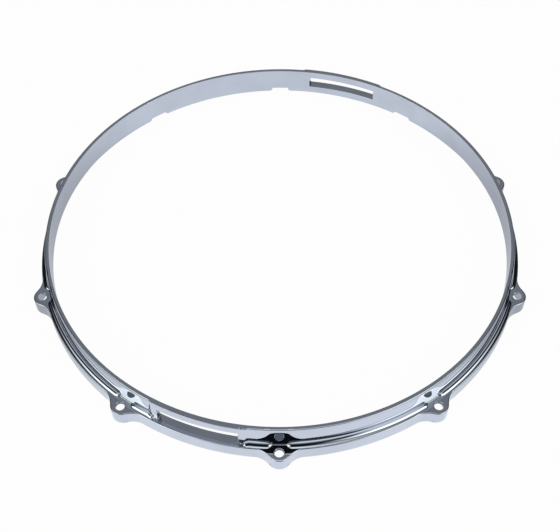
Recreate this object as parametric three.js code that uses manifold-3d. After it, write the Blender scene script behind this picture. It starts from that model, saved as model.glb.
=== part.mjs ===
// Die-cast metal hoop for a 14 inch snare drum, the pattern with a strap gate on two opposite sides.
// The real hoop is one zinc casting, so it is one solid here too: a collar that rises above the
// drum head, a flat shoulder that presses on the head's own ring, a skirt that hangs down round
// that ring, and ten ears that take the tension rods. It lies as it does on a table: the skirt's
// lower edge is at z = 0, the hoop's axis is the z axis, and the gates look along +y and -y.
import * as THREE from "three";
import { mergeVertices } from "three/addons/utils/BufferGeometryUtils.js";
import Module from "manifold-3d";

const wasm = await Module();
wasm.setup();

// Driving sizes in millimetres, and angles in degrees where the name says so
const COLLAR_INNER_RADIUS = 180;
const COLLAR_WALL = 3.3;
const COLLAR_DRAFT = 0.6; // how much further out the collar's outer face is at its foot
const HOOP_HEIGHT = 29;
const SHOULDER_HEIGHT = 11.7; // top of the shoulder's lip and of the ears, above the skirt's edge
const SHOULDER_THICKNESS = 2.6;
const HEAD_SEAT_WIDTH = 6.5; // flat ring under the shoulder that presses on the head
const SKIRT_WALL = 2.1;

const RIM_ROUND = 0.8; // rounding of the collar's top edges
const EDGE_ROUND = 0.6; // rounding of the lip's outer edge
const SKIRT_ROUND = 0.4; // rounding of the skirt's lower edges

const EAR_COUNT = 10;
const ROD_HOLE_OFFSET = 1.9; // from the skirt's outer face, which puts the rods on a 381 mm circle
const ROD_HOLE_DIAMETER = 6.5;
const ROD_HOLE_CHAMFER = 0.35;
const EAR_REACH = 8.5; // how far the ear's tip stands out from the skirt
const EAR_TIP_ROUND = 8.5;
const EAR_FLANK_DEGREES = 47.5; // how steeply each flank turns away from the skirt
const EAR_ROOT_FILLET = 9;
const EAR_WALL = 2.5;
const EAR_ROOT_SINK = 0.15; // how far inside the skirt's face the root fillet would touch it

const NOTCH_WIDTH = 14.4; // opening from the head seat into the hollow ear
const NOTCH_FLARE = 2.8; // rounding that widens the notch at the skirt's lower edge
const NOTCH_DEPTH = 1.4; // how far the flare cuts into the skirt's wall

const GROOVE_FOOT = 0.3; // ledge between the collar's foot and the groove
const GROOVE_WIDTH = 2.8; // at the top
const GROOVE_FLOOR_WIDTH = 1.2;
const GROOVE_DEPTH = 1.1;
const GROOVE_EAR_GAP = 14.4; // land left between two grooves at an ear
const GROOVE_TAPER_LENGTH = 7;

const GATE_COUNT = 2;
const GATE_LENGTH = 59.3; // along the collar's inner face
const GATE_HEIGHT = 11.3;
const GATE_CORNER_ROUND = 0.6;
const GATE_FRAME_MARGIN = 4.4; // how far the thick part of the collar runs past the gate's ends
const GATE_FRAME_THICKENING = 0.7;
const GATE_SILL_DROP = 0.4; // the sill lies this far below the lip
const GATE_SILL_MARGIN = 2.9;
const GATE_SILL_CHAMFER = 0.8;

const RING_STEPS = 120;
const ROUND_STEPS = 1;
const TAPER_STEPS = 3;
const EAR_ARC_STEPS = 6;
const HOLE_STEPS = 20;
const OVERRUN = 2; // how far a cutter passes the face that it cuts
const MERGE_DISTANCE = 0.001;

// Sizes that follow from them
const FULL_TURN = 2 * Math.PI;
const COLLAR_OUTER_RADIUS = COLLAR_INNER_RADIUS + COLLAR_WALL;
const COLLAR_FOOT_RADIUS = COLLAR_OUTER_RADIUS + COLLAR_DRAFT;
const SKIRT_INNER_RADIUS = COLLAR_INNER_RADIUS + HEAD_SEAT_WIDTH;
const SKIRT_OUTER_RADIUS = SKIRT_INNER_RADIUS + SKIRT_WALL;
const HEAD_SEAT_HEIGHT = SHOULDER_HEIGHT - SHOULDER_THICKNESS;
const ROD_CIRCLE_RADIUS = SKIRT_OUTER_RADIUS + ROD_HOLE_OFFSET;
const EAR_TIP_RADIUS = SKIRT_OUTER_RADIUS + EAR_REACH;
const EAR_PITCH = FULL_TURN / EAR_COUNT;
const GATE_SILL_HEIGHT = SHOULDER_HEIGHT - GATE_SILL_DROP;
const GATE_TOP_HEIGHT = GATE_SILL_HEIGHT + GATE_HEIGHT;
const GATE_FRAME_RADIUS = COLLAR_FOOT_RADIUS + GATE_FRAME_THICKENING;
const GROOVE_INNER_RADIUS = COLLAR_FOOT_RADIUS + GROOVE_FOOT;

const chrome = new THREE.MeshStandardMaterial({ color: 0xc6cbd6, metalness: 1, roughness: 0.07 });

// A closed three.js geometry as a solid that can be cut and joined.
function solidOf(geometry) {
  const bare = geometry.clone();
  bare.deleteAttribute("normal");
  bare.deleteAttribute("uv");
  const merged = mergeVertices(bare, MERGE_DISTANCE);
  const mesh = new wasm.Mesh({
    numProp: 3,
    vertProperties: Float32Array.from(merged.attributes.position.array),
    triVerts: Uint32Array.from(merged.index.array),
  });
  return new wasm.Manifold(mesh);
}

// A solid as a three.js geometry with flat-shaded faces.
function geometryOf(solid) {
  const mesh = solid.getMesh();
  const geometry = new THREE.BufferGeometry();
  geometry.setAttribute("position", new THREE.BufferAttribute(mesh.vertProperties, 3));
  geometry.setIndex(new THREE.BufferAttribute(mesh.triVerts, 1));
  const faceted = geometry.toNonIndexed();
  faceted.computeVertexNormals();
  return faceted;
}

// An outline through corners [x, y, radius], each one rounded by an arc that touches both sides.
function roundedOutline(corners) {
  const count = corners.length;
  const points = [];
  corners.forEach(([x, y, radius], i) => {
    const corner = new THREE.Vector2(x, y);
    if (!radius) {
      points.push(corner);
      return;
    }
    const before = corners[(i + count - 1) % count];
    const after = corners[(i + 1) % count];
    const toBefore = new THREE.Vector2(before[0], before[1]).sub(corner).normalize();
    const toAfter = new THREE.Vector2(after[0], after[1]).sub(corner).normalize();
    const halfAngle = Math.acos(toBefore.dot(toAfter)) / 2;
    const middle = toBefore.clone().add(toAfter).normalize();
    const centre = corner.clone().addScaledVector(middle, radius / Math.sin(halfAngle));
    const reach = radius / Math.tan(halfAngle);
    const from = corner.clone().addScaledVector(toBefore, reach).sub(centre);
    const turn = Math.PI - 2 * halfAngle;
    const side = Math.sign(toAfter.cross(toBefore));
    for (let step = 0; step <= ROUND_STEPS; step++) {
      const arm = from.clone().rotateAround(new THREE.Vector2(), (side * turn * step) / ROUND_STEPS);
      points.push(arm.add(centre));
    }
  });
  return points;
}

// The ring with a section of [radius, height] points, turned once round the hoop's axis.
function ringOf(section) {
  const geometry = new THREE.LatheGeometry([...section, section[0]], RING_STEPS);
  geometry.rotateX(Math.PI / 2);
  return solidOf(geometry);
}

// A closed bar along the ring from one angle to another, with the section that sectionAt(angle)
// gives. It has a station at each edge of the ring's own facets, at both ends and at the extra
// angles. Every section has the same number of [radius, height] points.
function barAlongRing(sectionAt, fromAngle, toAngle, extraAngles) {
  const pitch = FULL_TURN / RING_STEPS;
  const angles = [fromAngle, ...extraAngles, toAngle];
  for (let edge = Math.ceil(fromAngle / pitch); edge * pitch < toAngle; edge++) {
    angles.push(edge * pitch);
  }
  angles.sort((first, second) => first - second);
  const sections = angles.map(sectionAt);
  const steps = angles.length - 1;
  const sides = sections[0].length;
  const positions = [];
  const indices = [];
  sections.forEach((section, step) => {
    const [cos, sin] = [Math.cos(angles[step]), Math.sin(angles[step])];
    section.forEach(({ x, y }) => positions.push(x * cos, x * sin, y));
  });
  const corner = (step, side) => step * sides + (side % sides);
  for (let step = 0; step < steps; step++) {
    for (let side = 0; side < sides; side++) {
      const a = corner(step, side);
      const b = corner(step, side + 1);
      const c = corner(step + 1, side + 1);
      const d = corner(step + 1, side);
      indices.push(a, c, b, a, d, c);
    }
  }
  for (let side = 1; side < sides - 1; side++) {
    indices.push(corner(0, 0), corner(0, side), corner(0, side + 1));
    indices.push(corner(steps, 0), corner(steps, side + 1), corner(steps, side));
  }
  const geometry = new THREE.BufferGeometry();
  geometry.setAttribute("position", new THREE.Float32BufferAttribute(positions, 3));
  geometry.setIndex(indices);
  return solidOf(geometry);
}

// A flat outline in the hoop's plane, raised from one height to another, with its edges bevelled.
function prism(shape, fromHeight, toHeight, bevel) {
  const geometry = new THREE.ExtrudeGeometry(shape, {
    depth: toHeight - fromHeight - 2 * bevel,
    bevelEnabled: bevel > 0,
    bevelSize: bevel,
    bevelOffset: -bevel,
    bevelThickness: bevel,
    bevelSegments: 1,
  });
  geometry.translate(0, 0, fromHeight + bevel);
  return solidOf(geometry);
}

// The same solid at evenly spaced places round the hoop, joined as one.
function patternRound(solid, count) {
  const geometry = geometryOf(solid);
  let joined = solid;
  for (let i = 1; i < count; i++) {
    joined = joined.add(solidOf(geometry.clone().rotateZ((FULL_TURN * i) / count)));
  }
  return joined;
}

// Section of the casting: collar, shoulder and skirt, without the groove.
function hoopSection() {
  return roundedOutline([
    [SKIRT_INNER_RADIUS, HEAD_SEAT_HEIGHT, 0],
    [SKIRT_INNER_RADIUS, 0, SKIRT_ROUND],
    [SKIRT_OUTER_RADIUS, 0, SKIRT_ROUND],
    [SKIRT_OUTER_RADIUS, SHOULDER_HEIGHT, EDGE_ROUND],
    [COLLAR_FOOT_RADIUS, SHOULDER_HEIGHT, 0],
    [COLLAR_OUTER_RADIUS, HOOP_HEIGHT, RIM_ROUND],
    [COLLAR_INNER_RADIUS, HOOP_HEIGHT, RIM_ROUND],
    [COLLAR_INNER_RADIUS, HEAD_SEAT_HEIGHT, SKIRT_ROUND],
  ]);
}

// Bell-shaped outline of an ear on the +x side. Its tip is one arc, its flanks are straight, and
// each root is a fillet that touches the flank and, just under its face, the round skirt.
function earOutline() {
  const flank = THREE.MathUtils.degToRad(EAR_FLANK_DEGREES);
  const tipCentre = EAR_TIP_RADIUS - EAR_TIP_ROUND;
  const flankDistance = tipCentre * Math.cos(flank) + EAR_TIP_ROUND;
  const rootRadius = SKIRT_OUTER_RADIUS - EAR_ROOT_SINK;
  const filletCircle = rootRadius + EAR_ROOT_FILLET;
  const rootAngle = flank - Math.acos((flankDistance + EAR_ROOT_FILLET) / filletCircle);
  const filletX = filletCircle * Math.cos(rootAngle);
  const filletY = filletCircle * Math.sin(rootAngle);
  const innerRadius = SKIRT_OUTER_RADIUS - SKIRT_WALL / 2 - EDGE_ROUND;
  const shape = new THREE.Shape();
  shape.moveTo(innerRadius * Math.cos(rootAngle), -innerRadius * Math.sin(rootAngle));
  shape.lineTo(rootRadius * Math.cos(rootAngle), -rootRadius * Math.sin(rootAngle));
  shape.absarc(filletX, -filletY, EAR_ROOT_FILLET, Math.PI - rootAngle, Math.PI - flank, true);
  shape.absarc(tipCentre, 0, EAR_TIP_ROUND, -flank, flank, false);
  shape.absarc(filletX, filletY, EAR_ROOT_FILLET, Math.PI + flank, Math.PI + rootAngle, true);
  shape.lineTo(innerRadius * Math.cos(rootAngle), innerRadius * Math.sin(rootAngle));
  return new THREE.Shape(shape.getPoints(EAR_ARC_STEPS / 2));
}

// Hollow under an ear: a straight mouth from the head seat, and a round end inside the ear's wall.
function earHollow() {
  const tipCentre = EAR_TIP_RADIUS - EAR_TIP_ROUND;
  const endRound = EAR_TIP_ROUND - EAR_WALL;
  const halfMouth = NOTCH_WIDTH / 2;
  const flank = THREE.MathUtils.degToRad(EAR_FLANK_DEGREES);
  const flankReach = tipCentre + (endRound - halfMouth * Math.sin(flank)) / Math.cos(flank);
  const shape = new THREE.Shape();
  shape.moveTo(SKIRT_INNER_RADIUS - OVERRUN, -halfMouth);
  shape.lineTo(flankReach, -halfMouth);
  shape.absarc(tipCentre, 0, endRound, -flank, flank, false);
  shape.lineTo(flankReach, halfMouth);
  shape.lineTo(SKIRT_INNER_RADIUS - OVERRUN, halfMouth);
  const outline = new THREE.Shape(shape.getPoints(EAR_ARC_STEPS / 2));
  return prism(outline, -OVERRUN, HEAD_SEAT_HEIGHT, 0);
}

// Flared foot of the notch, cut part of the way into the skirt's wall.
function notchFlare() {
  const halfMouth = NOTCH_WIDTH / 2;
  const shape = new THREE.Shape();
  shape.moveTo(-halfMouth - NOTCH_FLARE, -OVERRUN);
  shape.lineTo(-halfMouth - NOTCH_FLARE, 0);
  shape.absarc(-halfMouth - NOTCH_FLARE, NOTCH_FLARE, NOTCH_FLARE, -Math.PI / 2, 0, false);
  shape.absarc(halfMouth + NOTCH_FLARE, NOTCH_FLARE, NOTCH_FLARE, Math.PI, 1.5 * Math.PI, false);
  shape.lineTo(halfMouth + NOTCH_FLARE, -OVERRUN);
  const outline = new THREE.Shape(shape.getPoints(ROUND_STEPS));
  const depth = OVERRUN + NOTCH_DEPTH;
  const geometry = new THREE.ExtrudeGeometry(outline, { depth, bevelEnabled: false });
  geometry.rotateX(Math.PI / 2);
  geometry.rotateZ(Math.PI / 2);
  geometry.translate(SKIRT_INNER_RADIUS - OVERRUN, 0, 0);
  return solidOf(geometry);
}

// Hole for a tension rod, with a small chamfer where the rod's washer sits.
function rodHole() {
  const radius = ROD_HOLE_DIAMETER / 2;
  const top = SHOULDER_HEIGHT + OVERRUN;
  const profile = [
    new THREE.Vector2(0, -OVERRUN),
    new THREE.Vector2(radius, -OVERRUN),
    new THREE.Vector2(radius, SHOULDER_HEIGHT - ROD_HOLE_CHAMFER),
    new THREE.Vector2(radius + ROD_HOLE_CHAMFER + OVERRUN, top),
    new THREE.Vector2(0, top),
  ];
  const geometry = new THREE.LatheGeometry(profile, HOLE_STEPS);
  geometry.rotateX(Math.PI / 2);
  geometry.translate(ROD_CIRCLE_RADIUS, 0, 0);
  return solidOf(geometry);
}

// Groove between the collar's foot and the lip, from one land to the next. It narrows against
// the collar over a short round taper at both ends.
function groove(fromAngle, toAngle) {
  const taperAngle = angleOf(GROOVE_TAPER_LENGTH, GROOVE_INNER_RADIUS);
  const sectionAt = (angle) => {
    const fromEnd = Math.min(angle - fromAngle, toAngle - angle);
    const taper = Math.min(fromEnd / taperAngle, 1);
    const fullness = Math.max(Math.sqrt(1 - (1 - taper) ** 2), MERGE_DISTANCE);
    const floorHeight = SHOULDER_HEIGHT - GROOVE_DEPTH * fullness;
    const floorRadius = GROOVE_INNER_RADIUS + GROOVE_FLOOR_WIDTH * fullness;
    const slope = (GROOVE_WIDTH - GROOVE_FLOOR_WIDTH) / GROOVE_DEPTH;
    const topHeight = SHOULDER_HEIGHT + OVERRUN;
    return [
      new THREE.Vector2(GROOVE_INNER_RADIUS, floorHeight),
      new THREE.Vector2(floorRadius, floorHeight),
      new THREE.Vector2(floorRadius + slope * (topHeight - floorHeight), topHeight),
      new THREE.Vector2(GROOVE_INNER_RADIUS, topHeight),
    ];
  };
  const taperAngles = [];
  for (let step = 1; step <= TAPER_STEPS; step++) {
    const inset = taperAngle * (step / TAPER_STEPS) ** 2;
    taperAngles.push(fromAngle + inset, toAngle - inset);
  }
  return barAlongRing(sectionAt, fromAngle, toAngle, taperAngles);
}

// Angle that a length on the circle of the given radius takes up.
function angleOf(length, radius) {
  return length / radius;
}

// Every groove: one between each two ears, and two short ones beside a gate.
function allGrooves() {
  const landAngle = angleOf(GROOVE_EAR_GAP, GROOVE_INNER_RADIUS) / 2;
  const sillAngle = angleOf(GATE_LENGTH / 2 + GATE_SILL_MARGIN, COLLAR_INNER_RADIUS);
  const gateAngle = Math.PI / 2;
  const grooves = [];
  for (let ear = 0; ear < EAR_COUNT; ear++) {
    const start = ear * EAR_PITCH + landAngle;
    const end = (ear + 1) * EAR_PITCH - landAngle;
    const middle = (start + end) / 2;
    const atGate = Math.abs(Math.cos(middle)) < Math.sin(sillAngle);
    if (atGate) {
      grooves.push(groove(start, middle - sillAngle));
      grooves.push(groove(middle + sillAngle, end));
    } else {
      grooves.push(groove(start, end));
    }
  }
  return grooves.reduce((joined, next) => joined.add(next));
}

// Thick stretch of the collar round a gate, on the +y side.
function gateFrame() {
  const halfAngle = angleOf(GATE_LENGTH / 2 + GATE_FRAME_MARGIN, COLLAR_INNER_RADIUS);
  const rootRadius = COLLAR_INNER_RADIUS + COLLAR_WALL / 2;
  const footHeight = SHOULDER_HEIGHT - SHOULDER_THICKNESS / 2;
  const section = roundedOutline([
    [rootRadius, footHeight, 0],
    [COLLAR_FOOT_RADIUS + GATE_FRAME_THICKENING, footHeight, 0],
    [COLLAR_OUTER_RADIUS + GATE_FRAME_THICKENING, HOOP_HEIGHT, RIM_ROUND],
    [rootRadius, HOOP_HEIGHT, 0],
  ]);
  return barAlongRing(() => section, Math.PI / 2 - halfAngle, Math.PI / 2 + halfAngle, []);
}

// Window of a gate, cut straight out through the collar on the +y side.
function gateWindow() {
  const halfLength = GATE_LENGTH / 2;
  const outline = roundedOutline([
    [-halfLength, GATE_SILL_HEIGHT, 0],
    [halfLength, GATE_SILL_HEIGHT, 0],
    [halfLength, GATE_TOP_HEIGHT, GATE_CORNER_ROUND],
    [-halfLength, GATE_TOP_HEIGHT, GATE_CORNER_ROUND],
  ]);
  const endRise = COLLAR_INNER_RADIUS * (1 - Math.cos(angleOf(halfLength, COLLAR_INNER_RADIUS)));
  const depth = endRise + GATE_FRAME_RADIUS - COLLAR_INNER_RADIUS + 2 * OVERRUN;
  const geometry = new THREE.ExtrudeGeometry(new THREE.Shape(outline), { depth, bevelEnabled: false });
  geometry.rotateX(Math.PI / 2);
  geometry.translate(0, GATE_FRAME_RADIUS + OVERRUN, 0);
  return solidOf(geometry);
}

// Step that lowers the lip to the sill of a gate, and the chamfer along the sill's inner edge.
function gateSill() {
  const stepAngle = angleOf(GATE_LENGTH / 2 + GATE_SILL_MARGIN, COLLAR_INNER_RADIUS);
  const stepSection = roundedOutline([
    [GATE_FRAME_RADIUS, GATE_SILL_HEIGHT, 0],
    [SKIRT_OUTER_RADIUS + OVERRUN, GATE_SILL_HEIGHT, 0],
    [SKIRT_OUTER_RADIUS + OVERRUN, SHOULDER_HEIGHT + OVERRUN, 0],
    [GATE_FRAME_RADIUS, SHOULDER_HEIGHT + OVERRUN, 0],
  ]);
  const chamferAngle = angleOf(GATE_LENGTH / 2, COLLAR_INNER_RADIUS);
  const chamferSection = roundedOutline([
    [COLLAR_INNER_RADIUS - OVERRUN, GATE_SILL_HEIGHT - GATE_SILL_CHAMFER - OVERRUN, 0],
    [COLLAR_INNER_RADIUS + GATE_SILL_CHAMFER + OVERRUN, GATE_SILL_HEIGHT + OVERRUN, 0],
    [COLLAR_INNER_RADIUS - OVERRUN, GATE_SILL_HEIGHT + OVERRUN, 0],
  ]);
  const middle = Math.PI / 2;
  const step = barAlongRing(() => stepSection, middle - stepAngle, middle + stepAngle, []);
  const chamfer = barAlongRing(() => chamferSection, middle - chamferAngle, middle + chamferAngle, []);
  return step.add(chamfer);
}

// The whole casting, in the order in which a pattern maker would add and cut.
function hoopCasting() {
  const ear = prism(earOutline(), 0, SHOULDER_HEIGHT, EDGE_ROUND);
  const earCut = earHollow().add(notchFlare()).add(rodHole());
  const gateCut = gateWindow().add(gateSill());
  return ringOf(hoopSection())
    .add(patternRound(ear, EAR_COUNT))
    .subtract(patternRound(earCut, EAR_COUNT))
    .subtract(allGrooves())
    .add(patternRound(gateFrame(), GATE_COUNT))
    .subtract(patternRound(gateCut, GATE_COUNT));
}

const casting = new THREE.Mesh(geometryOf(hoopCasting()), chrome);
casting.name = "hoop_casting";

const hoop = new THREE.Group();
hoop.add(casting);
export default hoop;
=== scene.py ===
"""Chrome-plated die-cast drum hoop, snare side, lying on a white studio floor.

The hoop is one casting, so it is one closed surface here. Its section is a closed line of strips
that is carried round the hoop's axis through a set of stations. Ears, coves, gate frames and
notches come from formulas of the angle, and the rod holes and the gates are cut out of the grid
and closed with strips that round their edges. All lengths are in metres.
"""

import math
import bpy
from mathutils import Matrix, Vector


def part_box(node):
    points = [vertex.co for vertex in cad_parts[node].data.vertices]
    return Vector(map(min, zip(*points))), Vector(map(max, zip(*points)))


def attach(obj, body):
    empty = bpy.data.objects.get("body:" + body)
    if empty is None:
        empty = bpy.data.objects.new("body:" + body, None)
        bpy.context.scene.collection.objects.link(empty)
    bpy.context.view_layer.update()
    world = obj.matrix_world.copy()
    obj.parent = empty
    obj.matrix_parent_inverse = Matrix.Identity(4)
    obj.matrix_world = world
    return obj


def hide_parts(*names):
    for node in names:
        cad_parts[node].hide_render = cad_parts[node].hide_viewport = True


bl_info = {
    "name": "Die-cast Drum Hoop",
    "version": (1, 0, 0),
    "blender": (4, 5, 0),
    "location": "3D View > Sidebar > Drum Hoop",
    "description": "Builds a chrome-plated die-cast drum hoop and a plain studio around it",
    "category": "Add Mesh",
}

import bmesh
import bpy
import numpy as np
from bpy.props import FloatProperty, FloatVectorProperty, IntProperty, PointerProperty
from bpy.types import Operator, Panel, PropertyGroup
from mathutils import Matrix, Vector

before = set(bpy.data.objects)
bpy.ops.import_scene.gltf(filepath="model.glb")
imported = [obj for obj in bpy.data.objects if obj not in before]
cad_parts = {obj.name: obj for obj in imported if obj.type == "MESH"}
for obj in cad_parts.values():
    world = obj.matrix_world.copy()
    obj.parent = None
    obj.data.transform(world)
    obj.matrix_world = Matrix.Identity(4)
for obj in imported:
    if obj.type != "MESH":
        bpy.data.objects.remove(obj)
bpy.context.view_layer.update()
LOW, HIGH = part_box("hoop_casting")
EAR_TIP_RADIUS = HIGH.x
SKIRT_OUTER_RADIUS = HIGH.y
HOOP_HEIGHT = HIGH.z

EAR_COUNT = 10
EAR_PITCH = 2 * math.pi / EAR_COUNT
BACK_GATE_ANGLE = math.pi / 2
FRONT_GATE_ANGLE = 3 * math.pi / 2

# Places of the grid's lines, which follow no size of the casting
RING_CELLS = 3  # cells between a rod hole and the border of its patch
PATCH_HALF_WIDTH = 0.006  # from an ear's middle to that border
PATCH_SEAT_START = 0.0046  # from the collar's inner face to that border under the shoulder
EAR_HALF_WIDTH = 0.0195  # from an ear's middle to a place past its root
NOTCH_SIDE = 0.00018  # how far the close stations reach at the notch's side
NOTCH_MARGIN = 0.0006  # how far the even stations run past its flare
NOTCH_TURN_MARGIN = 0.0003  # from the notch's side to where its stations turn in full
GATE_BLOCK_MARGIN = 0.0008  # from a window to the border of the block that is cut out for it
SILL_BLOCK_MARGIN = 0.0002  # the same under the rounding of a sill
SILL_END_STEP = 0.0006  # length of the close stations at a sill's end
SILL_END_MARGIN = 0.0005  # from a sill's end to where the even stations go on
WINDOW_END_STEPS = (0.00025, 0.0005, 0.0008, 0.0012, 0.0018, 0.003)  # from the block's end inwards
FRAME_APPROACH = 0.55  # from a frame's end to the even stations before it, as a share of its step
SILL_CORNER_POWER = 6  # how soon a sill's own rounding gives way to the window's at its corners
ROW_GAP = 0.0001  # keeps two rows apart where their strips would meet
TOLERANCE = 1e-6  # for doubled points, and against rounding in a division or a comparison


def length(name, description, default):
    """A length property, in metres."""
    return FloatProperty(name=name, description=description, default=default, unit="LENGTH", precision=5)


class HoopSizes(PropertyGroup):
    """Sizes of the casting that a user would change."""

    collar_inner: length("Collar inner radius", "Radius of the opening over the head", 0.180)
    collar_wall: length("Collar wall", "Thickness of the collar at its top", 0.00298)
    collar_draft: length("Collar draft", "How much thicker the collar is at its foot", 0.0009)
    collar_lean: length("Collar lean", "How much more it thins out along its top", 0.0003)
    lean_height: length("Lean height", "Height of that part of the collar", 0.0035)
    rim_inner_round: length("Rim inner rounding", "Rounding of the collar's inner top edge", 0.00025)
    rim_outer_round: length("Rim outer rounding", "Rounding of the collar's outer top edge", 0.0006)
    rim_crown: length("Rim crown", "How much lower the rim is at its edges than in its middle", 0.00001)
    shoulder_height: length("Shoulder height", "Top of the lip and the ears above the floor", 0.0117)
    shoulder_thickness: length("Shoulder thickness", "Thickness of the shoulder and the ears", 0.0026)
    skirt_wall: length("Skirt wall", "Thickness of the skirt", 0.0021)
    edge_round: length("Edge rounding", "Rounding of the lip's and the ears' top edge", 0.00068)
    base_round: length("Base rounding", "Rounding of the skirt's lower edges", 0.0004)
    foot_fillet: length("Foot fillet", "Fillet between the collar and an ear's land", 0.0006)
    cove: length("Cove", "Radius of the fillet at the collar's foot between two ears", 0.00385)
    cove_ear_gap: length("Cove gap", "Land between two coves at an ear", 0.0110)
    cove_taper: length("Cove taper", "Length over which a cove runs out", 0.0035)
    ear_tip_round: length("Ear tip radius", "Radius of an ear's round tip", 0.0085)
    ear_root_fillet: length("Ear root fillet", "Radius where an ear's flank meets the skirt", 0.015)
    ear_root_sink: length("Ear root sink", "How far under the skirt's face that fillet ends", 0.00015)
    ear_wall: length("Ear wall", "Thickness of the wall round an ear's hollow", 0.0025)
    rod_offset: length("Rod hole offset", "Rod holes' centres outside the skirt's face", 0.0019)
    rod_hole: length("Rod hole diameter", "Diameter of a tension rod's hole", 0.0065)
    rod_hole_round: length("Rod hole rounding", "Rounding of a rod hole's upper edge", 0.00035)
    notch_width: length("Notch width", "Width of the mouth of an ear's hollow", 0.0144)
    notch_flare: length("Notch flare", "Rounding of the notch's lower corners", 0.0028)
    gate_length: length("Gate length", "Length of a gate's window", 0.0593)
    front_gate_height: length("Front gate height", "Height of the front gate's window", 0.0119)
    back_gate_height: length("Back gate height", "Height of the back gate's window", 0.0097)
    back_sill_rise: length(
        "Back sill rise", "How far the back gate's sill lies over the shoulder", 0.0011)
    gate_corner: length("Gate corner", "Rounding of the window's corners", 0.0006)
    gate_edge: length("Gate edge", "Rounding of the window's edges", 0.00035)
    gate_sill_round: length("Gate sill rounding", "Rounding of the sill's inner edge", 0.0004)
    gate_sill_margin: length("Gate sill margin", "How far a sill runs past its window", 0.0029)
    gate_frame_margin: length(
        "Gate frame margin", "How far the thick frame runs past its window", 0.0051)
    gate_frame_step: length("Gate frame step", "Length over which the thick frame runs out", 0.0036)
    gate_frame_rise: length("Gate frame rise", "How much thicker the collar is round a gate", 0.001)
    ear_flank: FloatProperty(
        name="Ear flank", description="How steeply an ear's flank turns away from the skirt",
        default=math.radians(47.5), subtype="ANGLE")
    hole_cells: IntProperty(
        name="Hole cells", description="Grid cells along each side of a rod hole", default=10, min=4)


class FinishColours(PropertyGroup):
    """Colours and gloss of the plating and the stage."""

    chrome: FloatVectorProperty(
        name="Chrome", description="Colour of the plating", subtype="COLOR", size=3,
        default=(0.560, 0.585, 0.665), min=0, max=1)
    polish: FloatProperty(
        name="Polish", description="Roughness of the plating", default=0.035, min=0, max=1)
    floor: FloatVectorProperty(
        name="Floor", description="Colour of the floor", subtype="COLOR", size=3,
        default=(0.93, 0.93, 0.94), min=0, max=1)


# Small formulas


def ease(x):
    """Goes from 0 to 1 as x does, level at both ends: 3x squared minus 2x cubed."""
    x = np.clip(x, 0, 1)
    return x * x * (3 - 2 * x)


def quarter(steps):
    """Sine and cosine at even steps of a quarter turn."""
    turn = np.linspace(0, math.pi / 2, steps + 1)
    return np.sin(turn), np.cos(turn)


def from_ear(angle):
    """Signed angle from the middle of the nearest ear."""
    return (angle + EAR_PITCH / 2) % EAR_PITCH - EAR_PITCH / 2


def from_gate(angle):
    """Angle from the middle of the nearest gate, never negative."""
    return np.abs((angle - BACK_GATE_ANGLE + math.pi / 2) % math.pi - math.pi / 2)


# Formulas of the casting's shape, each one of the angle round the hoop's axis


def bell_radius(turn, inset, s):
    """Radius of an ear's outline at a turn from its middle, with the outline moved in by inset.
    Whichever spans that turn: the tip's arc, the straight flank, the root's fillet or the skirt."""
    turn = np.abs(turn)
    tip_centre = EAR_TIP_RADIUS - s.ear_tip_round
    tip_round = s.ear_tip_round - inset
    flank_distance = tip_centre * math.cos(s.ear_flank) + tip_round
    fillet = s.ear_root_fillet + inset
    fillet_centre = SKIRT_OUTER_RADIUS - s.ear_root_sink + s.ear_root_fillet
    root_turn = s.ear_flank - np.arccos((flank_distance + fillet) / fillet_centre)
    tip_end = np.arctan2(tip_round * math.sin(s.ear_flank),
                         tip_centre + tip_round * math.cos(s.ear_flank))
    flank_end = np.arctan2(fillet_centre * np.sin(root_turn) - fillet * math.sin(s.ear_flank),
                           fillet_centre * np.cos(root_turn) - fillet * math.cos(s.ear_flank))
    tip_reach = np.maximum(tip_round**2 - (tip_centre * np.sin(turn)) ** 2, 0)
    fillet_reach = np.maximum(fillet**2 - (fillet_centre * np.sin(turn - root_turn)) ** 2, 0)
    tip = tip_centre * np.cos(turn) + np.sqrt(tip_reach)
    flank = flank_distance / np.cos(turn - s.ear_flank)
    root = fillet_centre * np.cos(turn - root_turn) - np.sqrt(fillet_reach)
    skirt = SKIRT_OUTER_RADIUS - inset + 0 * turn
    radius = np.where(turn < tip_end, tip, np.where(turn < flank_end, flank, root))
    return np.where(turn < root_turn, np.maximum(radius, skirt), skirt)


def notch_half_width(height, s):
    """Half the width of the notch at a height: straight, then flared by a quarter round."""
    drop = np.clip(s.notch_flare - height, 0, s.notch_flare)
    return s.notch_width / 2 + s.notch_flare - np.sqrt(s.notch_flare**2 - drop**2)


def cavity_radius(turn, height, s):
    """Radius of the skirt's inner face, or of the ear's hollow where the notch opens it."""
    skirt = SKIRT_OUTER_RADIUS - s.skirt_wall
    side = notch_half_width(height, s) / np.maximum(np.sin(np.abs(turn)), TOLERANCE)
    hollow = np.minimum(bell_radius(turn, s.ear_wall, s), side)
    return np.maximum(hollow, skirt)


def collar_growth(height, s):
    """How much thicker the collar is at a height than at its top: a straight draft, and above it a
    parabola that leans in."""
    draft = s.collar_draft * (HOOP_HEIGHT - height) / (HOOP_HEIGHT - s.shoulder_height)
    lean = np.clip(1 - (HOOP_HEIGHT - height) / s.lean_height, 0, 1)
    return draft + s.collar_lean * (1 - lean**2)


def gate_half_turn(margin, s):
    """Angle from a gate's middle to a place that far past the end of its window."""
    return (s.gate_length / 2 + margin) / s.collar_inner


def frame_share(angle, s):
    """1 round a gate, where the collar is thicker, with an eased step at each end."""
    width = s.gate_frame_step / s.collar_inner
    end = gate_half_turn(s.gate_frame_margin, s)
    return ease((end + width / 2 - from_gate(angle)) / width)


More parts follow.
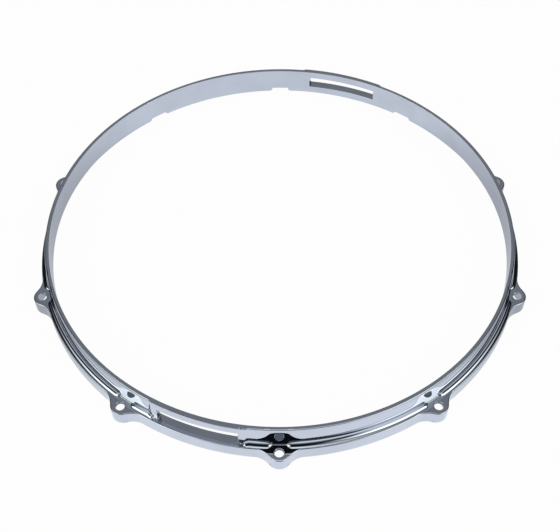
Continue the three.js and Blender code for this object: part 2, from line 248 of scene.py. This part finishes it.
def cove_radius(angle, s):
    """Radius of the fillet between the collar's foot and the shoulder. It is large between two
    ears and grows along a quarter circle from the small one at an ear or a gate's frame. Along a
    gate's window it is zero."""
    in_window = from_gate(angle) < gate_half_turn(GATE_BLOCK_MARGIN, s) - TOLERANCE
    radius = s.collar_inner + s.collar_wall + s.collar_draft
    past_ear = np.abs(from_ear(angle)) * radius - s.cove_ear_gap / 2
    past_sill = (from_gate(angle) - gate_half_turn(s.gate_sill_margin, s)) * radius
    share = np.clip(np.minimum(past_ear, past_sill) / s.cove_taper, 0, 1)
    fullness = np.sqrt(1 - (1 - share) ** 2)
    return np.where(in_window, 0, s.foot_fillet + (s.cove - s.foot_fillet) * fullness)


def gate_windows(s):
    """Each gate's angle, the height of its sill and the height of its window."""
    return (
        (BACK_GATE_ANGLE, s.shoulder_height + s.back_sill_rise, s.back_gate_height),
        (FRONT_GATE_ANGLE, s.shoulder_height, s.front_gate_height),
    )


# Stations round the hoop


def patch_cells(s):
    """Cells along each side of the square patch of the grid round a rod hole."""
    return s.hole_cells + 2 * RING_CELLS


def half_sector(s, beside_gate):
    """Turns from an ear's middle to half the ear pitch, closer where the shape changes."""
    radius = SKIRT_OUTER_RADIUS
    patch = PATCH_HALF_WIDTH
    mouth = s.notch_width / 2
    wall = NOTCH_SIDE * np.linspace(-1, 1, 5)
    flare_end = mouth + s.notch_flare + NOTCH_MARGIN
    parts = [
        np.linspace(0, patch, patch_cells(s) // 2 + 1),
        np.linspace(patch, mouth + wall[0], 4)[1:-1],
        mouth + wall,
        np.linspace(mouth + wall[-1], flare_end, 8)[1:],
        np.linspace(flare_end, EAR_HALF_WIDTH, 8)[1:],
    ]
    near = np.concatenate(parts) / radius
    if not beside_gate:
        return np.concatenate([near, np.linspace(near[-1], EAR_PITCH / 2, 9)[1:]])
    sill_end = EAR_PITCH / 2 - gate_half_turn(s.gate_sill_margin, s)
    frame_end = EAR_PITCH / 2 - gate_half_turn(s.gate_frame_margin, s)
    cut_end = EAR_PITCH / 2 - gate_half_turn(GATE_BLOCK_MARGIN, s)
    sill_steps = SILL_END_STEP * np.linspace(-0.5, 0.5, 6) / radius
    cut_steps = np.array(WINDOW_END_STEPS) / radius
    frame_step = s.gate_frame_step / s.collar_inner
    far = [
        np.linspace(near[-1], frame_end - frame_step * FRAME_APPROACH, 3)[1:-1],
        frame_end + np.linspace(-0.5, 0.5, 9) * frame_step,
        sill_end + sill_steps,
        np.linspace(sill_end + SILL_END_MARGIN / radius, cut_end, 3)[1:],
        cut_end + cut_steps,
        np.linspace(cut_end + cut_steps[-1], EAR_PITCH / 2, 9)[1:],
    ]
    return np.concatenate([near] + far)


def ring_stations(s):
    """Angles of all stations, from half a pitch before the first ear, once round."""
    angles = []
    for ear in range(EAR_COUNT):
        middle = ear * EAR_PITCH
        sides = []
        for side in (-1, 1):
            edge = middle + side * EAR_PITCH / 2
            beside_gate = from_gate(edge) < EAR_PITCH / 4
            sides.append(half_sector(s, beside_gate))
        angles.append(middle - sides[0][::-1])
        angles.append(middle + sides[1][1:-1])
    return np.concatenate(angles)


# The section's strips


class Strips:
    """Rows of the grid, collected strip by strip in the order of the section."""

    def __init__(self, angle):
        self.angle = angle
        self.radius, self.height, self.turn = [], [], []
        self.start = {}

    def add(self, name, radius, height, shift=0.0):
        """Adds a strip of one or more rows. Each value has a column for each row, or one."""
        shape = np.broadcast(radius, height, shift, self.angle[:, None]).shape
        self.start[name] = sum(block.shape[1] for block in self.radius)
        self.radius.append(np.broadcast_to(radius, shape))
        self.height.append(np.broadcast_to(height, shape))
        self.turn.append(np.broadcast_to(self.angle[:, None] + shift, shape))

    def points(self):
        """All points as one array: station, row, and x, y, z."""
        parts = (self.radius, self.height, self.turn)
        radius, height, turn = (np.concatenate(part, axis=1) for part in parts)
        return np.stack([radius * np.cos(turn), radius * np.sin(turn), height], axis=-1)


def gate_row_shares():
    """Heights of the rows beside a gate, as shares from the lowest to the highest."""
    return np.concatenate([np.linspace(0, 0.16, 5), np.linspace(0.3, 0.8, 3), np.linspace(0.88, 1, 4)])


def collar_strips(strips, s):
    """Adds the strips up the collar's inner face, over the rim, down its outer face and through
    the cove. Returns the radius at which the cove ends."""
    column = strips.angle[:, None]
    framed = frame_share(column, s)
    sine3, cosine3 = quarter(3)
    sine4, cosine4 = quarter(4)
    sine12, cosine12 = quarter(12)
    shares = gate_row_shares()
    inner = s.collar_inner
    outer_top = inner + s.collar_wall + s.gate_frame_rise * framed
    block_low = s.shoulder_height - s.gate_sill_round - SILL_BLOCK_MARGIN
    block_high = s.shoulder_height + s.front_gate_height + GATE_BLOCK_MARGIN

    def outer(height):
        return outer_top + collar_growth(height, s)

    strips.add("gate_in", inner, block_low + (block_high - block_low) * shares)
    edge = s.rim_inner_round
    strips.add("wall_in", inner, np.linspace(block_high, HOOP_HEIGHT - edge, 4)[1:-1])
    edge_height = HOOP_HEIGHT - s.rim_crown
    strips.add("rim_in", inner + edge * (1 - cosine3), edge_height - edge * (1 - sine3))
    strips.add("rim_middle", (inner + outer_top) / 2, HOOP_HEIGHT)
    edge = s.rim_outer_round + (s.gate_edge - s.rim_outer_round) * framed
    strips.add("rim_out", outer_top - edge * (1 - sine4), edge_height - edge * (1 - cosine4))
    edge_low = HOOP_HEIGHT - edge
    heights = edge_low + (block_high - edge_low) * np.linspace(0, 1, 7)[1:-1]
    strips.add("wall_out", outer(heights), heights)
    cove = cove_radius(column, s)
    lowest = s.shoulder_height + cove
    heights = block_high + (lowest - block_high) * (1 - shares[::-1])
    strips.add("gate_out", outer(heights), heights)
    foot = outer(lowest)
    strips.add("cove", foot + cove * (1 - cosine12[1:]), s.shoulder_height + cove * (1 - sine12[1:]))
    return foot + cove


def shoulder_strips(strips, start, s):
    """Adds the strips out over the lip or the ear and down the outside to the lower edge."""
    turn = from_ear(strips.angle[:, None])
    sine3, cosine3 = quarter(3)
    sine4, cosine4 = quarter(4)
    share = np.linspace(0, 1, patch_cells(s) + 1)
    end = bell_radius(turn, s.edge_round, s)
    strips.add("lip", start + (end - start) * share, s.shoulder_height)
    inset = s.edge_round * (1 - sine4[1:])
    strips.add("edge", bell_radius(turn, inset, s), s.shoulder_height - s.edge_round * (1 - cosine4[1:]))
    base = s.base_round
    heights = np.linspace(s.shoulder_height - s.edge_round, base, 4)[1:-1]
    strips.add("face", bell_radius(turn, 0 * heights, s), heights)
    strips.add("base_out", bell_radius(turn, base * (1 - cosine3), s), base * (1 - sine3))


def skirt_strips(strips, s):
    """Adds the strips under the skirt, up its inner face and in along the head's seat."""
    turn = from_ear(strips.angle[:, None])
    sine3, cosine3 = quarter(3)
    inner = s.collar_inner
    seat = s.shoulder_height - s.shoulder_thickness
    base = corner = s.base_round

    def flare_shift(height):
        """Turns the stations beside the notch outwards, so that they follow its flare."""
        lateral = np.abs(turn) * SKIRT_OUTER_RADIUS
        mouth = s.notch_width / 2
        before = (lateral - PATCH_HALF_WIDTH) / (mouth - NOTCH_TURN_MARGIN - PATCH_HALF_WIDTH)
        after = (EAR_HALF_WIDTH - lateral) / (EAR_HALF_WIDTH - mouth - NOTCH_TURN_MARGIN)
        weight = np.clip(np.minimum(before, after), 0, 1)
        return np.sign(turn) * weight * (notch_half_width(height, s) - mouth) / SKIRT_OUTER_RADIUS

    heights = base * (1 - cosine3)
    shift = flare_shift(heights)
    strips.add("base_in", cavity_radius(turn + shift, heights, s) + base * (1 - sine3), heights, shift)
    heights = np.linspace(base, seat - corner, 9)[1:-1]
    shift = flare_shift(heights)
    strips.add("skirt_in", cavity_radius(turn + shift, heights, s), heights, shift)
    cavity = cavity_radius(turn, seat, s) - corner
    strips.add("seat_corner", cavity + corner * cosine3[:-1], seat - corner * (1 - sine3[:-1]))
    share = np.linspace(0, 1, patch_cells(s) + 1)
    strips.add("seat", cavity + (inner + PATCH_SEAT_START - cavity) * share, seat)
    strips.add("collar_corner", inner + corner * (1 - sine3), seat + corner * (1 - cosine3))


def hoop_strips(angle, s):
    """The casting's section at every station, as one closed line of strips."""
    strips = Strips(angle)
    cove_end = collar_strips(strips, s)
    shoulder_strips(strips, cove_end + ROW_GAP, s)
    skirt_strips(strips, s)
    return strips


# Holes and gates


class Grid:
    """The casting's grid of points, and what is cut out of it and closed again."""

    def __init__(self, strips):
        self.angle = strips.angle
        self.points = strips.points()
        self.stations, self.rows = self.points.shape[:2]
        self.kept = np.ones((self.stations, self.rows), bool)
        self.wall_points, self.wall_faces = [], []
        self.next_point = self.stations * self.rows

    def station(self, angle):
        """Number of the station nearest to an angle."""
        return int(np.argmin(np.abs(self.angle - angle)))

    def cut(self, first, last, row, cells):
        """Leaves out the cells between two stations, over so many rows."""
        self.kept[first:last, row:row + cells] = False

    def close(self, rings):
        """Adds the wall of a cut, as faces between neighbouring closed rings of points."""
        count = len(rings[0])
        ring, place = np.meshgrid(np.arange(len(rings) - 1), np.arange(count), indexing="ij")
        here = self.next_point + ring * count
        following = (place + 1) % count
        corners = [here + place, here + following, here + count + following, here + count + place]
        self.wall_points += rings
        self.wall_faces.append(np.stack(corners, axis=-1).reshape(-1, 4))
        self.next_point += len(rings) * count

    def mesh(self, name):
        """The kept cells and the walls as one mesh, with doubled points merged."""
        i, j = np.nonzero(self.kept)
        next_i, next_j = (i + 1) % self.stations, (j + 1) % self.rows
        width = self.rows
        cells = [i * width + j, next_i * width + j, next_i * width + next_j, i * width + next_j]
        vertices = np.concatenate([self.points.reshape(-1, 3)] + self.wall_points)
        faces = np.concatenate([np.stack(cells, axis=1)] + self.wall_faces)
        mesh = bpy.data.meshes.new(name)
        mesh.from_pydata(vertices.tolist(), [], faces.tolist())
        body = bmesh.new()
        body.from_mesh(mesh)
        bmesh.ops.remove_doubles(body, verts=body.verts, dist=TOLERANCE)
        bmesh.ops.delete(body, geom=[v for v in body.verts if not v.link_faces], context="VERTS")
        bmesh.ops.recalc_face_normals(body, faces=body.faces)
        body.to_mesh(mesh)
        body.free()
        mesh.shade_smooth()
        return mesh


def loop_of(i0, i1, j0, j1):
    """Station and row numbers round a block of the grid: along j0, i1, j1 and i0 in turn."""
    rows = np.arange(j0, j1, 1 if j1 > j0 else -1)
    columns = np.arange(i0, i1)
    i = np.concatenate([columns, np.full(len(rows), i1), columns[::-1] + 1, np.full(len(rows), i0)])
    back = rows[::-1] + (1 if j1 > j0 else -1)
    j = np.concatenate([np.full(len(columns), j0), rows, np.full(len(columns), j1), back])
    return i, j


def open_hole(grid, ear_angle, first_row, last_row, start_radius, hole_radius, outline, s):
    """Moves a square patch of the grid so that its rows run from the hole's circle to the patch's
    border: each point lies between the border point in its direction and the circle's. The border
    runs from the start radius to the outline's radius. Returns the loop of points on the circle."""
    half = patch_cells(s) // 2
    middle = grid.station(ear_angle)
    step = 1 if last_row > first_row else -1
    columns = np.arange(-half, half + 1)
    a, b = np.meshgrid(columns / half, columns / half, indexing="ij")
    reach = np.maximum(np.maximum(np.abs(a), np.abs(b)), TOLERANCE)
    hole_share = (s.hole_cells / 2) / half
    turn = a / reach * PATCH_HALF_WIDTH / SKIRT_OUTER_RADIUS
    border_radius = start_radius + (outline(turn) - start_radius) * (b / reach + 1) / 2
    centre = SKIRT_OUTER_RADIUS + s.rod_offset
    x = border_radius * np.cos(turn) - centre
    y = border_radius * np.sin(turn)
    far = np.hypot(x, y)
    share = np.clip((reach - hole_share) / (1 - hole_share), 0, 1)
    scale = (hole_radius + (far - hole_radius) * share) / far
    x, y = centre + x * scale, y * scale
    patch = np.ix_(middle + columns, first_row + step * (columns + half))
    grid.points[..., 0][patch] = x * math.cos(ear_angle) - y * math.sin(ear_angle)
    grid.points[..., 1][patch] = x * math.sin(ear_angle) + y * math.cos(ear_angle)
    half_hole = s.hole_cells // 2
    hole_rows = first_row + step * RING_CELLS, last_row - step * RING_CELLS
    grid.cut(middle - half_hole, middle + half_hole, min(hole_rows), s.hole_cells)
    return loop_of(middle - half_hole, middle + half_hole, *hole_rows)


def rod_hole_wall(upper, lower, ear_angle, s):
    """Rings of a rod hole's wall: from the shoulder round the upper edge, down, and round the
    smaller lower edge to the underside."""
    centre_radius = SKIRT_OUTER_RADIUS + s.rod_offset
    centre = np.array([centre_radius * math.cos(ear_angle), centre_radius * math.sin(ear_angle), 0])
    direction = upper - centre
    direction[:, 2] = 0
    direction /= np.linalg.norm(direction, axis=1, keepdims=True)
    upward = np.array([0, 0, 1])
    radius = s.rod_hole / 2
    sine, cosine = quarter(4)
    rings = [upper]
    for step in (1, 2, 3, 4):
        out = radius + s.rod_hole_round * (1 - sine[step])
        height = upper[0, 2] - s.rod_hole_round * (1 - cosine[step])
        rings.append(centre + direction * out + upward * height)
    under = s.rod_hole_round / 2
    for step in (4, 2):
        out = radius + under * (1 - sine[step])
        height = lower[0, 2] + under * (1 - cosine[step])
        rings.append(centre + direction * out + upward * height)
    return rings + [lower]


def cut_rod_hole(grid, start, ear_angle, s):
    """Opens a rod hole through an ear's top. Start gives the first row of each strip."""
    cells = patch_cells(s)
    lip_row, seat_row = start["lip"], start["seat"]
    lip_start = np.hypot(*grid.points[grid.station(ear_angle), lip_row, :2])
    seat = s.shoulder_height - s.shoulder_thickness
    radius = s.rod_hole / 2
    upper = open_hole(
        grid, ear_angle, lip_row, lip_row + cells, lip_start, radius + s.rod_hole_round,
        lambda turn: bell_radius(turn, s.edge_round, s), s)
    lower = open_hole(
        grid, ear_angle, seat_row + cells, seat_row, s.collar_inner + PATCH_SEAT_START,
        radius + s.rod_hole_round / 2, lambda turn: cavity_radius(turn, seat, s) - s.base_round, s)
    grid.close(rod_hole_wall(grid.points[upper], grid.points[lower], ear_angle, s))


def gate_wall(inner_loop, outer_loop, gate_angle, sill, window_height, s):
    """Rings of a gate's wall. A rounded rectangle is carried straight out through the collar,
    wider at both ends by the quarter round of its edges. The sill's inner edge has a round of its
    own, and its outer end has none where the sill runs on into the shoulder."""
    forward = np.array([math.cos(gate_angle), math.sin(gate_angle)])
    sideways = np.array([-forward[1], forward[0]])
    side, height = inner_loop[:, :2] @ sideways, inner_loop[:, 2]
    core_side = s.gate_length / 2 - s.gate_corner
    nearest_side = np.clip(side, -core_side, core_side)
    nearest_height = np.clip(height, sill + s.gate_corner, sill + window_height - s.gate_corner)
    normal = np.stack([side - nearest_side, height - nearest_height], axis=1)
    normal /= np.linalg.norm(normal, axis=1, keepdims=True)
    down = np.clip(-normal[:, 1], 0, 1) ** SILL_CORNER_POWER
    sine, cosine = quarter(4)

    def wall_radius(height_here):
        return s.collar_inner + s.collar_wall + s.gate_frame_rise + collar_growth(height_here, s)

    def ring(offset, depth, from_outside):
        reach = s.gate_corner + offset
        u = nearest_side + normal[:, 0] * reach
        z = nearest_height + normal[:, 1] * reach
        near = np.sqrt(s.collar_inner**2 - u**2) + depth
        far = np.sqrt(wall_radius(z) ** 2 - u**2) - depth
        v = far if from_outside else near
        return np.stack([v * forward[0] + u * sideways[0], v * forward[1] + u * sideways[1], z], axis=1)

    flush = down * (sill < s.shoulder_height + TOLERANCE)
    edge_in = s.gate_edge + (s.gate_sill_round - s.gate_edge) * down
    edge_out = s.gate_edge * (1 - flush)
    rings = [inner_loop]
    for step in range(5):
        rings.append(ring(edge_in * (1 - sine[step]), edge_in * (1 - cosine[step]), False))
    for step in range(4, -1, -1):
        depth = s.gate_edge * (1 - cosine[step]) + ROW_GAP * flush
        rings.append(ring(edge_out * (1 - sine[step]), depth, True))
    return rings + [outer_loop]


def cut_gate(grid, start, gate_angle, sill, window_height, s):
    """Opens a gate through the collar. Start gives the first row of each strip."""
    cells = len(gate_row_shares()) - 1
    in_row, out_row = start["gate_in"], start["gate_out"]
    half_turn = gate_half_turn(GATE_BLOCK_MARGIN, s)
    first, last = grid.station(gate_angle - half_turn), grid.station(gate_angle + half_turn)
    grid.cut(first, last, in_row, cells)
    grid.cut(first, last, out_row, cells)
    inner_loop = grid.points[loop_of(first, last, in_row, in_row + cells)]
    outer_loop = grid.points[loop_of(first, last, out_row + cells, out_row)]
    grid.close(gate_wall(inner_loop, outer_loop, gate_angle, sill, window_height, s))


def build_hoop_mesh(s):
    """The whole casting as one closed mesh."""
    strips = hoop_strips(ring_stations(s), s)
    grid = Grid(strips)
    for ear in range(EAR_COUNT):
        cut_rod_hole(grid, strips.start, ear * EAR_PITCH, s)
    for gate_angle, sill, window_height in gate_windows(s):
        cut_gate(grid, strips.start, gate_angle, sill, window_height, s)
    return grid.mesh("cast_hoop")


# Shader maths


class Socket:
    """An output socket, or a number, that Python's operators turn into Math nodes."""

    def __init__(self, shader, value):
        self.shader, self.value = shader, value

    def apply(self, operation, *others):
        """Adds a Math node that works on this value and the others."""
        values = [self.value] + [o.value if isinstance(o, Socket) else o for o in others]
        return self.shader.node("ShaderNodeMath", {"operation": operation}, values)

    def __add__(self, other):
        return self.apply("ADD", other)

    __radd__ = __add__

    def __sub__(self, other):
        return self.apply("SUBTRACT", other)

    def __rsub__(self, other):
        return Socket(self.shader, other).apply("SUBTRACT", self)

    def __mul__(self, other):
        return self.apply("MULTIPLY", other)

    __rmul__ = __mul__

    def absolute(self):
        return self.apply("ABSOLUTE")

    def cosine(self):
        return self.apply("COSINE")

    def arcsine(self):
        return self.apply("ARCSINE")

    def angle_from(self, other):
        """Angle of the direction whose sine side is this and whose cosine side is the other."""
        return self.apply("ARCTAN2", other)

    def between(self, low, low_full, high_full, high):
        """1 from low_full to high_full, with eased steps to 0 at low and high."""
        return self.step(low, low_full) * (1 - self.step(high_full, high))

    def step(self, low, high):
        """Eased step from 0 at low to 1 at high."""
        settings = {"interpolation_type": "SMOOTHSTEP"}
        inputs = {"Value": self, "From Min": low, "From Max": high}
        return self.shader.node("ShaderNodeMapRange", settings, inputs)


class Shader:
    """A node tree that is written as expressions."""

    def __init__(self, tree):
        self.tree = tree
        tree.nodes.clear()

    def node(self, kind, settings=None, inputs=None, output=0):
        """Adds a node, sets it, then fills its sockets with values or links."""
        made = self.tree.nodes.new(kind)
        for name, value in (settings or {}).items():
            setattr(made, name, value)
        pairs = enumerate(inputs) if isinstance(inputs, list) else (inputs or {}).items()
        for key, value in pairs:
            if isinstance(value, Socket):
                value = value.value
            if isinstance(value, bpy.types.NodeSocket):
                self.tree.links.new(value, made.inputs[key])
            else:
                made.inputs[key].default_value = value
        return Socket(self, made.outputs[output]) if len(made.outputs) else made

    def along(self, vector, axis):
        """Length of a vector along an axis."""
        settings = {"operation": "DOT_PRODUCT"}
        return self.node("ShaderNodeVectorMath", settings, [vector, axis], output="Value")

    def scaled(self, colour, factor):
        """A colour times a value."""
        inputs = {"Vector": colour, "Scale": factor}
        return self.node("ShaderNodeVectorMath", {"operation": "SCALE"}, inputs)

    def distance(self, vector):
        """Length of a vector."""
        return self.node("ShaderNodeVectorMath", {"operation": "LENGTH"}, [vector], output="Value")

    def mix(self, factor, first, second):
        """Mixes two colours. The sockets of a Mix node share their names, so they go by number."""
        sockets = {0: factor, 6: first, 7: second}
        return self.node("ShaderNodeMix", {"data_type": "RGBA"}, sockets, output=2)


def chrome_plate_material(colours):
    """Bright chrome over a polished casting: a faint waviness, and a film that dulls it in places."""
    material = bpy.data.materials.new("chrome_plate")
    material.use_nodes = True
    shader = Shader(material.node_tree)
    place = shader.node("ShaderNodeTexCoord", output="Object")
    haze = shader.node("ShaderNodeTexNoise", {}, {"Vector": place, "Scale": 38.0, "Detail": 4.0})
    wave = shader.node("ShaderNodeTexNoise", {}, {"Vector": place, "Scale": 95.0, "Detail": 1.0})
    roughness = colours.polish + 0.02 * haze.step(0.45, 0.75)
    tint = [*colours.chrome, 1]
    dull = [c * 0.94 for c in colours.chrome] + [1]
    colour = shader.mix(haze.step(0.4, 0.7), tint, dull)
    bump = shader.node("ShaderNodeBump", {}, {"Strength": 0.04, "Distance": 0.0002, "Height": wave})
    surface = shader.node("ShaderNodeBsdfPrincipled", {}, {
        "Base Color": colour, "Metallic": 1.0, "Roughness": roughness, "Normal": bump})
    shader.node("ShaderNodeOutputMaterial", {}, {"Surface": surface})
    return material


class HOOP_OT_casting(Operator):
    """Builds the chrome-plated casting over its CAD node"""

    bl_idname = "hoop.casting"
    bl_label = "Hoop casting"

    def execute(self, context):
        sizes = context.scene.hoop_sizes
        mesh = build_hoop_mesh(sizes)
        piece = bpy.data.objects.new("cast_hoop", mesh)
        context.scene.collection.objects.link(piece)
        mesh.materials.append(chrome_plate_material(context.scene.hoop_finish))
        weighted = piece.modifiers.new("even_gloss", "WEIGHTED_NORMAL")
        weighted.mode = "FACE_AREA"
        weighted.weight = 90
        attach(piece, "root")
        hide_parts("hoop_casting")
        return {"FINISHED"}


# Stage

FLOOR_HALF_SIDE = 3.0
CAMERA_AZIMUTH = math.radians(-71.54)
CAMERA_ELEVATION = math.radians(50.82)
CAMERA_DISTANCE = 0.78522
CAMERA_PITCH = math.radians(51.98)
CAMERA_ROLL = math.radians(-0.45)
PHOTO_WIDTH = 560
FOCAL_PIXELS = 969.26
SENSOR_WIDTH = 36.0

# The room's axes: towards the side that the light is arranged from, across it and up
TOWARD = (math.cos(CAMERA_AZIMUTH), math.sin(CAMERA_AZIMUTH), 0)
ACROSS = (-TOWARD[1], TOWARD[0], 0)
UPWARD = (0, 0, 1)

ROOM_LIGHT = 0.01
SOFT_BOX_LIGHT = 2.9
CEILING_LIGHT = 1.2
CEILING_EDGE_LIGHT = 0.28
SIDE_HORIZON_LIGHT = 0.9
FRONT_HORIZON_LIGHT = 0.45
FAR_WALL_LIGHT = 0.25
FAR_CEILING_LIGHT = 0.58

# The floor as the metal mirrors it: its light, the painted light and shade across it, and how much of it
# the painted shadows of the hoop take
PAPER_LIGHT = 0.91
PAINTED_NEAR_BRIGHTENING = 0.1
PAINTED_SIDE_DIMMING = 0.4
PAINTED_EAR_SHADE = 0.75
PAINTED_COLLAR_SHADE = 0.45
PLAIN_WHITE_SHARE = 0.97  # to the camera; the rest shows the hoop's shadow


def studio_camera(scene):
    """Camera at the photograph's place, with its lens."""
    away = Vector(TOWARD)
    position = away * CAMERA_DISTANCE * math.cos(CAMERA_ELEVATION)
    position.z = CAMERA_DISTANCE * math.sin(CAMERA_ELEVATION)
    forward = -away * math.cos(CAMERA_PITCH)
    forward.z = -math.sin(CAMERA_PITCH)
    level = forward.cross(Vector(UPWARD)).normalized()
    upright = level.cross(forward)
    right = level * math.cos(CAMERA_ROLL) + upright * math.sin(CAMERA_ROLL)
    up = right.cross(forward)
    data = bpy.data.cameras.new("camera")
    data.sensor_width = SENSOR_WIDTH
    data.lens = FOCAL_PIXELS / PHOTO_WIDTH * SENSOR_WIDTH
    data.clip_start = 0.01
    camera = bpy.data.objects.new("camera", data)
    turn = Matrix((right, up, -forward)).transposed().to_4x4()
    camera.matrix_world = Matrix.Translation(position) @ turn
    scene.collection.objects.link(camera)
    scene.camera = camera


def floor_material(colours):
    """White paper under the studio's light. To the camera it is plain white with a faint shadow.
    In the metal it is a bright glowing sheet with painted light: it dims to both sides, and painted
    shadows of the collar and of the ears darken it on the near side."""
    material = bpy.data.materials.new("studio_paper")
    material.use_nodes = True
    shader = Shader(material.node_tree)
    grain = shader.node("ShaderNodeTexNoise", {}, {"Scale": 60.0, "Detail": 3.0})
    paper = shader.mix(grain * 0.04, [*colours.floor, 1], [0.9, 0.9, 0.9, 1])
    diffuse = shader.node("ShaderNodeBsdfDiffuse", {}, {"Color": paper})
    place = shader.node("ShaderNodeTexCoord", output="Object")
    near = shader.along(place, TOWARD)
    aside = shader.along(place, ACROSS).absolute()
    radius = shader.distance(place)
    ear_turn = shader.along(place, (0, 1, 0)).angle_from(shader.along(place, (1, 0, 0))) * EAR_COUNT
    at_ear = ear_turn.cosine().step(0.9, 0.97)  # 1 round the middle of each ear
    # painted shadow on the floor under the hollow of each ear, seen only in the metal
    painted_ear_shadow = radius.between(0.182, 0.186, 0.193, 0.1965) * at_ear
    # painted shadow on the floor just inside the collar, seen only in the metal
    painted_collar_shadow = radius.between(0.15, 0.164, 0.176, 0.18)
    # painted light: the sheet is brighter towards the near side and dimmer to both sides
    level = PAPER_LIGHT + PAINTED_NEAR_BRIGHTENING * near.step(-0.15, 0.15) - PAINTED_SIDE_DIMMING * aside.step(0.1, 0.185)
    # painted shade: the ears' painted shadows darken the sheet on the near side
    level = level * (1 - PAINTED_EAR_SHADE * painted_ear_shadow * near.step(0.09, 0.13))
    # painted shade: the collar's painted shadow darkens the sheet on the near side
    level = level * (1 - PAINTED_COLLAR_SHADE * painted_collar_shadow * near.step(0.1, 0.14))
    sheet = shader.scaled((0.97, 1.01, 1.05), level)
    # the floor glows with this painted light and shade for the metal's mirror rays
    painted_glow = shader.node("ShaderNodeEmission", {}, {"Color": sheet, "Strength": 1.0})
    white = shader.node("ShaderNodeEmission", {}, {"Color": [1, 1, 1, 1], "Strength": 1.0})
    camera_ray = shader.node("ShaderNodeLightPath", output="Is Camera Ray")
    glossy_ray = shader.node("ShaderNodeLightPath", output="Is Glossy Ray")
    mirrored = shader.node("ShaderNodeMixShader", {}, [glossy_ray, diffuse, painted_glow])
    surface = shader.node("ShaderNodeMixShader", {}, [camera_ray * PLAIN_WHITE_SHARE, mirrored, white])
    shader.node("ShaderNodeOutputMaterial", {}, {"Surface": surface})
    return material


def studio_world(scene):
    """A dim room with a soft box on each side and a light ceiling, and plain white where the
    camera looks past the hoop. Side is the angle from the room's near side, rise the angle above
    the floor, both in degrees."""
    world = bpy.data.worlds.new("studio")
    scene.world = world
    world.use_nodes = True
    shader = Shader(world.node_tree)
    ray = shader.node("ShaderNodeTexCoord", output="Generated")
    in_degrees = 180 / math.pi
    side = shader.along(ray, ACROSS).absolute().angle_from(shader.along(ray, TOWARD)) * in_degrees
    rise = shader.along(ray, UPWARD).arcsine() * in_degrees

    front = 1 - side.step(8, 26)
    far = side.step(146, 158)
    boxes = rise.between(23, 44, 51, 67) * side.between(15, 52, 70, 126)
    side_horizon = (1 - rise.step(20, 40)) * side.between(24, 38, 50, 64)
    front_horizon = (1 - rise.step(4, 32)) * front
    ceiling_edge = rise.between(56, 64, 76, 88) * side.step(14, 34) * (1 - far)
    light = (
        ROOM_LIGHT
        + SOFT_BOX_LIGHT * boxes
        + SIDE_HORIZON_LIGHT * side_horizon
        + FRONT_HORIZON_LIGHT * front_horizon
        + FAR_WALL_LIGHT * far * rise.step(26, 38)
        + FAR_CEILING_LIGHT * far * rise.step(63, 68)
        + CEILING_EDGE_LIGHT * ceiling_edge
        + CEILING_LIGHT * rise.step(70, 90)
    )
    tint = shader.mix(boxes, [0.93, 1.0, 1.04, 1], [1.0, 1.02, 0.86, 1])
    room_colour = shader.scaled(tint, light)
    camera_ray = shader.node("ShaderNodeLightPath", output="Is Camera Ray")
    colour = shader.mix(camera_ray, room_colour, [1, 1, 1, 1])
    background = shader.node("ShaderNodeBackground", {}, {"Color": colour, "Strength": 1.0})
    shader.node("ShaderNodeOutputWorld", {}, {"Surface": background})


class HOOP_OT_stage(Operator):
    """Lays the white floor and sets the studio's light and the camera"""

    bl_idname = "hoop.stage"
    bl_label = "Studio"

    def execute(self, context):
        scene = context.scene
        side = FLOOR_HALF_SIDE
        corners = [(-side, -side, 0), (side, -side, 0), (side, side, 0), (-side, side, 0)]
        mesh = bpy.data.meshes.new("floor")
        mesh.from_pydata(corners, [], [(0, 1, 2, 3)])
        mesh.materials.append(floor_material(scene.hoop_finish))
        floor = bpy.data.objects.new("floor", mesh)
        scene.collection.objects.link(floor)
        studio_world(scene)
        studio_camera(scene)
        scene.view_settings.view_transform = "Standard"
        return {"FINISHED"}


class HOOP_PT_panel(Panel):
    """Lists the hoop's builders and sizes in the sidebar"""

    bl_idname = "HOOP_PT_panel"
    bl_label = "Drum Hoop"
    bl_space_type = "VIEW_3D"
    bl_region_type = "UI"
    bl_category = "Drum Hoop"

    def draw(self, context):
        layout = self.layout
        for operator in (HOOP_OT_casting, HOOP_OT_stage):
            layout.operator(operator.bl_idname)
        for group in (context.scene.hoop_sizes, context.scene.hoop_finish):
            for name in group.__annotations__:
                layout.prop(group, name)


CLASSES = (HoopSizes, FinishColours, HOOP_OT_casting, HOOP_OT_stage, HOOP_PT_panel)


def register():
    for kind in CLASSES:
        bpy.utils.register_class(kind)
    bpy.types.Scene.hoop_sizes = PointerProperty(type=HoopSizes)
    bpy.types.Scene.hoop_finish = PointerProperty(type=FinishColours)


def unregister():
    del bpy.types.Scene.hoop_finish
    del bpy.types.Scene.hoop_sizes
    for kind in reversed(CLASSES):
        bpy.utils.unregister_class(kind)


def main():
    """Builds the hoop and its studio."""
    register()
    bpy.ops.hoop.casting()
    bpy.ops.hoop.stage()


if __name__ == "__main__":
    main()
